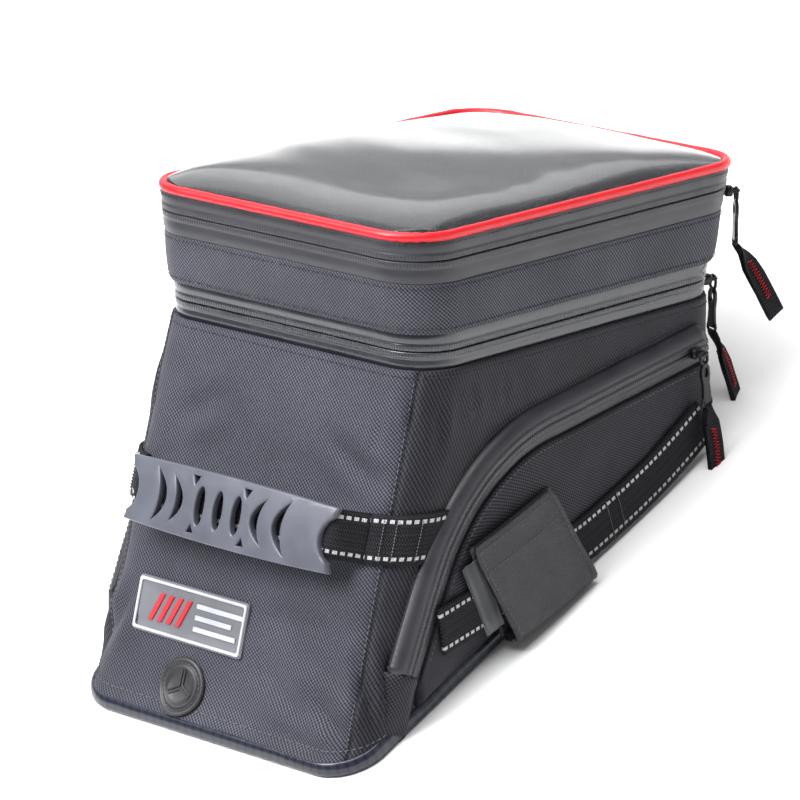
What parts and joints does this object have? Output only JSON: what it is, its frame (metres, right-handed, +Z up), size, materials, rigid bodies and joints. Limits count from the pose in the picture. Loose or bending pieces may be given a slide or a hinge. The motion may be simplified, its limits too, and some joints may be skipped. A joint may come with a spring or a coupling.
{
  "type": "motorcycle tank bag",
  "caption": "Soft tank bag with a raked body on magnets, an expanding collar, a hinged lid with a clear map window, a front grip, a cable port and zipped side pockets.",
  "frame": {"origin": "middle of the base, on the face that lies on the tank", "axes": "+Z up from the base, +Y along the base to the bag's rear, +X to its right-hand side with the grip at -Y"},
  "size_m": [0.239, 0.4012, 0.2492],
  "materials": {
    "mat_rubber": "matte, fine grip pattern",
    "board": "matte fibreboard",
    "magnet": "plain plated steel",
    "binding": "glossy vinyl binding",
    "front_nylon": "coarse ballistic nylon, grey",
    "side_nylon": "coarse ballistic nylon, charcoal",
    "lining_cloth": "thin coated lining cloth",
    "badge_rubber": "matte moulded rubber with a pale raised edge",
    "port_rubber": "satin moulded rubber",
    "webbing": "woven webbing",
    "grip_rubber": "satin moulded rubber",
    "zip_tape": "coated zip tape, matte",
    "zip_coil": "nylon coil under a coating",
    "gusset_cloth": "thin nylon",
    "leatherette": "pebbled leatherette",
    "loop_cloth": "fuzzy loop cloth",
    "lid_vinyl": "pebbled black vinyl",
    "red_piping": "red vinyl piping",
    "clear_vinyl": "clear flexible vinyl",
    "black_metal": "black coated zinc",
    "tail_webbing": "grosgrain webbing"
  },
  "bodies": {
    "root": {"base_mat": "mat_rubber", "base_board": "board", "base_magnets": "magnet", "base_binding": "binding", "front_panel": "front_nylon", "right_side_panel": "side_nylon", "left_side_panel": "side_nylon", "rear_panel": "side_nylon", "lining": "lining_cloth", "badge": "badge_rubber", "cable_port": "port_rubber", "port_backing_ring": "port_rubber", "right_handle_anchor": "webbing", "left_handle_anchor": "webbing", "right_pocket": "side_nylon", "left_pocket": "side_nylon", "right_pocket_zip_tape": "zip_tape", "left_pocket_zip_tape": "zip_tape", "right_pocket_coil": "zip_coil", "left_pocket_coil": "zip_coil", "right_end_tab": "side_nylon", "left_end_tab": "side_nylon", "right_side_webbing": "webbing", "left_side_webbing": "webbing", "right_wrap_back": "loop_cloth", "left_wrap_back": "loop_cloth", "expander_tape_lower": "zip_tape", "expander_coil_lower": "zip_coil", "expansion_gusset": "gusset_cloth"},
    "collar": {"expander_tape_upper": "zip_tape", "expander_coil_upper": "zip_coil", "collar_band": "side_nylon", "collar_lining": "lining_cloth", "collar_zip_tape": "zip_tape", "main_coil_lower": "zip_coil", "lid_hinge_strip": "zip_tape"},
    "lid": {"lid_zip_tape": "zip_tape", "main_coil_upper": "zip_coil", "lid_panel": "lid_vinyl", "lid_piping": "red_piping", "map_window": "clear_vinyl"},
    "handle": {"handle_webbing": "webbing", "handle_grip": "grip_rubber"},
    "right_wrap": {"right_wrap_flap": "leatherette"},
    "left_wrap": {"left_wrap_flap": "leatherette"},
    "main_slider": {"main_slider": "black_metal"},
    "main_puller": {"main_puller": "black_metal"},
    "main_tail": {"main_tail": "tail_webbing"},
    "expander_slider": {"expander_slider": "black_metal"},
    "expander_puller": {"expander_puller": "black_metal"},
    "expander_tail": {"expander_tail": "tail_webbing"},
    "right_pocket_slider": {"right_pocket_slider": "black_metal"},
    "right_pocket_puller": {"right_pocket_puller": "black_metal"},
    "right_pocket_tail": {"right_pocket_tail": "tail_webbing"},
    "left_pocket_slider": {"left_pocket_slider": "black_metal"},
    "left_pocket_puller": {"left_pocket_puller": "black_metal"},
    "left_pocket_tail": {"left_pocket_tail": "tail_webbing"}
  },
  "joints": [
    {"name": "expansion", "type": "slide", "parent": "root", "child": "collar", "axis": [0, 0.3971, 0.9178], "range_m": [0, 0.045], "deforming": ["expansion_gusset"]},
    {"name": "lid_hinge", "type": "hinge", "parent": "collar", "child": "lid", "pos_m": [0, 0.23044, 0.11439], "axis": [-1, 0, 0], "range_deg": [0, 90]},
    {"name": "handle_swing", "type": "hinge", "parent": "root", "child": "handle", "pos_m": [0, -0.08372, 0.09637], "axis": [1, 0, 0], "range_deg": [-30, 32], "deforming": ["handle_webbing"]},
    {"name": "right_wrap_fold", "type": "hinge", "parent": "root", "child": "right_wrap", "pos_m": [0.1175, -0.01306, 0.00855], "axis": [0, 0.9956, -0.0941], "range_deg": [0, 80]},
    {"name": "left_wrap_fold", "type": "hinge", "parent": "root", "child": "left_wrap", "pos_m": [-0.1175, -0.01306, 0.00855], "axis": [0, -0.9956, 0.0941], "range_deg": [0, 80]},
    {"name": "main_zip", "type": "hinge", "parent": "collar", "child": "main_slider", "pos_m": [0.0695, 0.20089, 0.12255], "axis": [0, -0.3971, -0.9178], "range_deg": [0, 50]},
    {"name": "main_pull", "type": "hinge", "parent": "main_slider", "child": "main_puller", "pos_m": [0.09179, 0.22707, 0.11122], "axis": [0.788, -0.565, 0.2445], "range_deg": [0, 90]},
    {"name": "main_tail_pin", "type": "hinge", "parent": "main_puller", "child": "main_tail", "pos_m": [0.09179, 0.21516, 0.08369], "axis": [0.788, -0.565, 0.2445], "range_deg": [-20, 50]},
    {"name": "expander_zip", "type": "hinge", "parent": "root", "child": "expander_slider", "pos_m": [0.0695, 0.17118, 0.0818], "axis": [0, -0.3971, -0.9178], "range_deg": [0, 30]},
    {"name": "expander_pull", "type": "hinge", "parent": "expander_slider", "child": "expander_puller", "pos_m": [0.08188, 0.20239, 0.06829], "axis": [0.9397, -0.3139, 0.1358], "range_deg": [0, 90]},
    {"name": "expander_tail_pin", "type": "hinge", "parent": "expander_puller", "child": "expander_tail", "pos_m": [0.08188, 0.19048, 0.04076], "axis": [0.9397, -0.3139, 0.1358], "range_deg": [-15, 50]},
    {"name": "right_pocket_zip", "type": "slide", "parent": "root", "child": "right_pocket_slider", "axis": [0, -0.9641, 0.2656], "range_m": [0, 0.104]},
    {"name": "right_pocket_pull", "type": "hinge", "parent": "right_pocket_slider", "child": "right_pocket_puller", "pos_m": [0.1127, 0.14896, 0.0604], "axis": [0, -0.9641, 0.2656], "range_deg": [0, 90]},
    {"name": "right_pocket_tail_pin", "type": "hinge", "parent": "right_pocket_puller", "child": "right_pocket_tail", "pos_m": [0.1127, 0.141, 0.03148], "axis": [0, -0.9641, 0.2656], "range_deg": [-6, 60]},
    {"name": "left_pocket_zip", "type": "slide", "parent": "root", "child": "left_pocket_slider", "axis": [0, -0.9641, 0.2656], "range_m": [0, 0.104]},
    {"name": "left_pocket_pull", "type": "hinge", "parent": "left_pocket_slider", "child": "left_pocket_puller", "pos_m": [-0.1127, 0.14896, 0.0604], "axis": [0, 0.9641, -0.2656], "range_deg": [0, 90]},
    {"name": "left_pocket_tail_pin", "type": "hinge", "parent": "left_pocket_puller", "child": "left_pocket_tail", "pos_m": [-0.1127, 0.141, 0.03148], "axis": [0, 0.9641, -0.2656], "range_deg": [-6, 60]}
  ]
}
